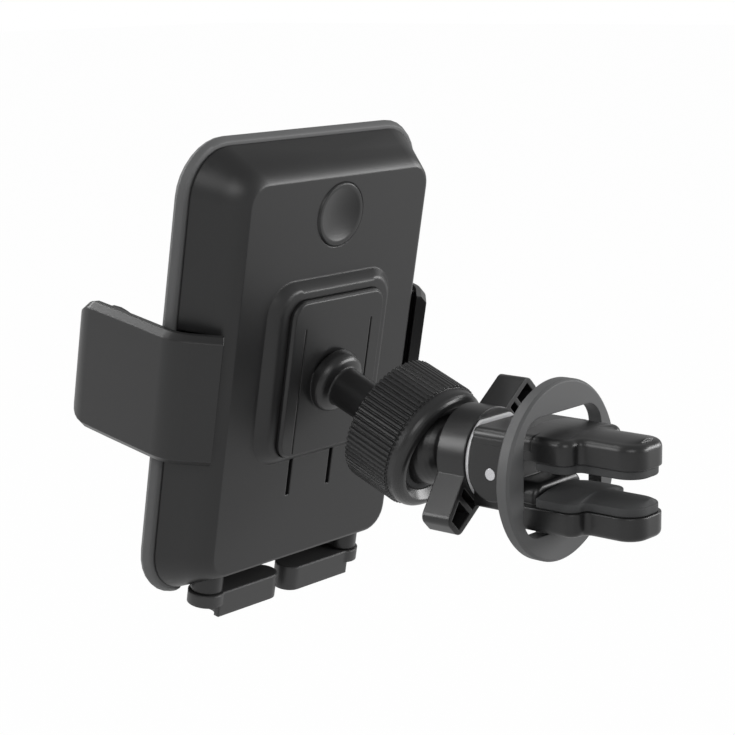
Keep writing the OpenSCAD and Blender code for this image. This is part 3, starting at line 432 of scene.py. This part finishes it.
def cushion(outline, low, high, low_edge, high_edge, crown=0.0, spine=keel):
    """A slab over a closed plan outline with both edges rounded and its top gently crowned.

    Rings P(u) + i N(u) run up the profile: quarter circles of the two edge radii, i from the edge
    radius to 0 and back, joined by the straight side. Past the last ring each point slides to the
    spine by a share s from 1 to 0, height rising by crown * (1 - s^2). N points inwards. Returns
    vertices and quads in the plan's own axes, height last.
    """
    after = np.roll(outline, -1, 0)
    if (outline[:, 0] * after[:, 1] - after[:, 0] * outline[:, 1]).sum() < 0.0:
        outline = outline[::-1]
    ahead = np.roll(outline, -1, 0) - np.roll(outline, 1, 0)
    inward = np.stack([-ahead[:, 1], ahead[:, 0]], 1)
    inward /= np.linalg.norm(inward, axis=1, keepdims=True)
    q = np.radians(np.linspace(0.0, 90.0, EDGE_STEPS))
    inset = np.concatenate([low_edge * (1 - np.sin(q)), high_edge * (1 - np.cos(q))])
    height = np.concatenate([low + low_edge * (1 - np.cos(q)),
                             high - high_edge + high_edge * np.sin(q)])
    rings = outline[None] + inset[:, None, None] * inward[None]
    s = np.linspace(1.0, 0.0, CROWN_STEPS)
    over, under = spine(rings[-1]), spine(rings[0])
    top = over + s[1:, None, None] * (rings[-1] - over)
    bottom = under + s[::-1][:-1, None, None] * (rings[0] - under)
    plan = np.concatenate([bottom, rings, top])
    lift = np.concatenate([np.full(CROWN_STEPS - 1, low), height,
                           high + crown * (1.0 - s[1:] ** 2)])
    verts = np.concatenate([plan, np.broadcast_to(lift[:, None, None], plan.shape[:2] + (1,))], 2)
    rows, cols = plan.shape[:2]
    i, j = np.meshgrid(np.arange(rows - 1), np.arange(cols), indexing="ij")
    k = (j + 1) % cols
    quads = np.stack([i * cols + j, i * cols + k, (i + 1) * cols + k, (i + 1) * cols + j], -1)
    return verts.reshape(-1, 3), quads.reshape(-1, 4)


def across(part, sign):
    """A slab whose plan is Y-Z and whose height is along X on one side: (u, v, h) to (h, u, v)."""
    points, quads = part
    return np.stack([sign * points[:, 2], points[:, 0], points[:, 1]], 1), quads


def along(part):
    """A slab whose plan is X-Z and whose height is along Y: (u, v, h) to (u, h, v)."""
    points, quads = part
    return np.stack([points[:, 0], points[:, 2], points[:, 1]], 1), quads


def surface(name, parts, material, node):
    """One object of several surfaces in millimetres in the model's frame, in a node's place."""
    verts, quads, base = [], [], 0
    for points, faces in parts:
        verts.append(points)
        quads.append(faces + base)
        base += len(points)
    mesh = bpy.data.meshes.new(name)
    mesh.from_pydata((np.concatenate(verts) / MM).tolist(), [], np.concatenate(quads).tolist())
    work = bmesh.new()
    work.from_mesh(mesh)
    bmesh.ops.remove_doubles(work, verts=work.verts, dist=MERGE_DISTANCE)
    bmesh.ops.recalc_face_normals(work, faces=work.faces)
    work.to_mesh(mesh)
    work.free()
    mesh.polygons.foreach_set("use_smooth", np.ones(len(mesh.polygons), dtype=bool))
    mesh.set_sharp_from_angle(angle=math.radians(50.0))
    mesh.materials.append(material)
    dressed(name, mesh, node)


def jaw_outline(step_y, inset=0.0, back=5.8):
    """Plan of a jaw: broad lobe, quick step, narrow lobe and round tip.

    One half is circle arcs joined by straight runs: the lobe's corner at the back, the step's
    rounded corner, its fillet and the tip's corner. The other half is its mirror image in x = 0.
    """
    wide, slim, tip = 9.9 - inset, 6.0 - inset, -20.9 + inset
    back_r, step_r, fillet_r, tip_r = 1.5, 2.7, 1.1, 4.4
    half = np.vstack([
        [[wide - back_r, back]], arc((wide - back_r, back - back_r), back_r, 90, 0, 5),
        arc((wide - step_r, step_y + inset + step_r), step_r, 0, -84, 9),
        arc((slim + fillet_r, step_y + inset - fillet_r), fillet_r, 96, 180, 7),
        arc((slim - tip_r, tip + tip_r), tip_r, 0, -90, 12)])
    return spread(np.vstack([half, (half * [-1.0, 1.0])[::-1]]), PLAN_STEP)


def block_outline(top, top_r=0.6):
    """Plan of the clip block in X-Z: a rectangle with small round corners below and corners of
    radius top_r above, each a quarter circle."""
    x, low, low_r = 7.9, -8.8, 0.6
    return spread(np.vstack([
        arc((x - low_r, low + low_r), low_r, -90, 0, 4),
        arc((x - top_r, top - top_r), top_r, 0, 90, 8),
        arc((top_r - x, top - top_r), top_r, 90, 180, 8),
        arc((low_r - x, low + low_r), low_r, 180, 270, 4)]), PLAN_STEP)


upper_shell = cushion(jaw_outline(UPPER_STEP), low=3.0, high=8.0, low_edge=0.2, high_edge=1.5,
                      crown=0.7)
ear_outline = spread(np.vstack([
    arc((10.5, -1.0), 5.6, 180, 360, 33),
    [[15.3, 5.2], [14.8, 6.2], [3.4, 6.2], [3.4, 3.0]]]), FINE_STEP)
ear = cushion(ear_outline, low=8.0, high=10.0, low_edge=0.1, high_edge=0.25, spine=centred)
plate_outline = spread(np.vstack([
    [[-10.03, 5.0], [10.03, 5.0]], arc((8.33, 6.4), 1.7, 0, 90, 8),
    arc((-8.33, 6.4), 1.7, 90, 180, 8)]), PLAN_STEP)
plate = cushion(plate_outline, low=0.6, high=14.9, low_edge=0.2, high_edge=0.5, spine=centred)
surface("smooth_upper_jaw", [upper_shell, along(plate), across(ear, 1.0), across(ear, -1.0)],
        black_soft, "upper_jaw")

lower_points, lower_quads = cushion(jaw_outline(LOWER_STEP), low=6.2, high=11.0, low_edge=0.2,
                                    high_edge=1.2)
lower_shell = (lower_points * [1.0, 1.0, -1.0], lower_quads)
rear_block = cushion(block_outline(3.8), low=6.5, high=16.3, low_edge=0.2, high_edge=0.3,
                     spine=centred)
front_block = cushion(block_outline(-2.2, top_r=2.6), low=0.9, high=7.2, low_edge=1.2,
                      high_edge=0.2, spine=centred)
surface("smooth_lower_jaw", [lower_shell, along(rear_block), along(front_block)],
        black_soft, "lower_jaw")

washer_outline = spread(arc((0.0, 0.0), 9.5, 59.5, -239.5, 90), FINE_STEP)
washer = cushion(washer_outline, low=16.4, high=17.1, low_edge=0.08, high_edge=0.08,
                 spine=centred)
surface("smooth_thrust_washer", [along(washer)], white_nylon, "thrust_washer")

for node, step_y, low, crown in (("upper_jaw_pad", UPPER_STEP, 1.2, 0.0),
                                 ("lower_jaw_pad", LOWER_STEP, -6.2, 1.3)):
    rubber = cushion(jaw_outline(step_y, inset=0.45, back=0.6), low, low + PAD_THICKNESS,
                     low_edge=0.3, high_edge=0.3, crown=crown)
    surface("smooth_" + node, [rubber], pad_grey, node)


def studio_light(name, place, aim, size, power):
    """A soft rectangular lamp at a place, turned to a point."""
    lamp = bpy.data.lights.new(name, "AREA")
    lamp.shape = "RECTANGLE"
    lamp.size, lamp.size_y = size
    lamp.energy = power
    obj = bpy.data.objects.new(name, lamp)
    turn = (aim - place).to_track_quat("-Z", "Y").to_matrix().to_4x4()
    obj.matrix_world = Matrix.Translation(place) @ turn
    bpy.context.scene.collection.objects.link(obj)


def place_camera():
    """The photograph's view, found from the straight edges and circles of the holder. Returns the
    camera's axes."""
    right = Vector((0.65138, -0.75858, -0.016))
    up = Vector((0.1566, 0.11377, 0.98109))
    back = right.cross(up)
    place = Vector((-0.31432, -0.22107, 0.09589))
    focal_pixels, photo_width = 2000.0, 735.0
    camera = bpy.data.cameras.new("camera")
    camera.sensor_fit = "HORIZONTAL"
    camera.sensor_width = 36.0
    camera.lens = focal_pixels * 36.0 / photo_width
    camera.clip_start = 0.01
    obj = bpy.data.objects.new("camera", camera)
    turn = Matrix((right, up, back)).transposed().to_4x4()
    obj.matrix_world = Matrix.Translation(place) @ turn
    bpy.context.scene.collection.objects.link(obj)
    bpy.context.scene.camera = obj
    return right, up, back


def pale_floor():
    """A white floor below the holder.

    It is plain white to the camera. In reflections it glows less, and least round one fixed spot
    in front of the clip, where a studio's floor is dark.
    """
    drop, size = 0.06, 6.0
    low = cad_box[0][2] - drop
    mesh = bpy.data.meshes.new("floor")
    mesh.from_pydata([(-size, -size, low), (size, -size, low),
                      (size, size, low), (-size, size, low)], [], [(0, 1, 2, 3)])
    floor = bpy.data.objects.new("floor", mesh)
    bpy.context.scene.collection.objects.link(floor)
    f = Finish("pale floor", Base_Color=(0.5, 0.5, 0.5), Roughness=0.9)
    dark_spot = (0.05, -0.38, low)
    away = f.node("ShaderNodeVectorMath", {"operation": "DISTANCE"},
                  {0: f.node("ShaderNodeTexCoord", out="Object"), 1: dark_spot}, out="Value")
    far = away.smooth(0.12, 0.4) * 0.75 + 0.25
    seen = (f.ray("Is Camera Ray") * 0.985 + f.ray("Is Transmission Ray") * 0.985
            + f.ray("Is Glossy Ray") * far * 0.62).held()
    glow = f.node("ShaderNodeEmission", None, {"Color": WHITE, "Strength": 1.0})
    f.blend(seen, Signal(f, f.shader.outputs[0]), glow)
    mesh.materials.append(f.material)


def pale_room():
    """White surroundings to the camera and through clear pieces, and a dim room to the rest."""
    world = bpy.data.worlds.new("studio")
    bpy.context.scene.world = world
    world.use_nodes = True
    w = Wiring(world.node_tree, "ShaderNodeOutputWorld")
    room = w.node("ShaderNodeBackground", None, {"Color": WHITE, "Strength": 0.38})
    white = w.node("ShaderNodeBackground", None, {"Color": WHITE, "Strength": 1.0})
    seen = w.ray("Is Glossy Ray") * 0.08 + w.ray("Is Camera Ray")
    w.blend(w.maths("MAXIMUM", seen, w.ray("Is Transmission Ray")), room, white)


right, up, back = place_camera()
pale_floor()
pale_room()
aim = Vector((0.0, 0.045, 0.0))
for name, way, size, power in (
        ("left box", (-0.95, 0.36, 0.06), (0.62, 0.36), 5.0),
        ("high box", (-0.62, 0.77, 0.12), (0.4, 0.4), 0.6),
        ("front box", (0.05, 0.28, 0.95), (0.5, 0.4), 2.0),
        ("rear box", (-0.62, 0.74, -0.24), (0.3, 0.3), 2.6),
        ("right strip", (0.95, 0.28, -0.1), (0.9, 0.28), 7.0)):
    studio_light(name, aim + right * way[0] + up * way[1] + back * way[2], aim, size, power)

bpy.context.scene.view_settings.view_transform = "Standard"
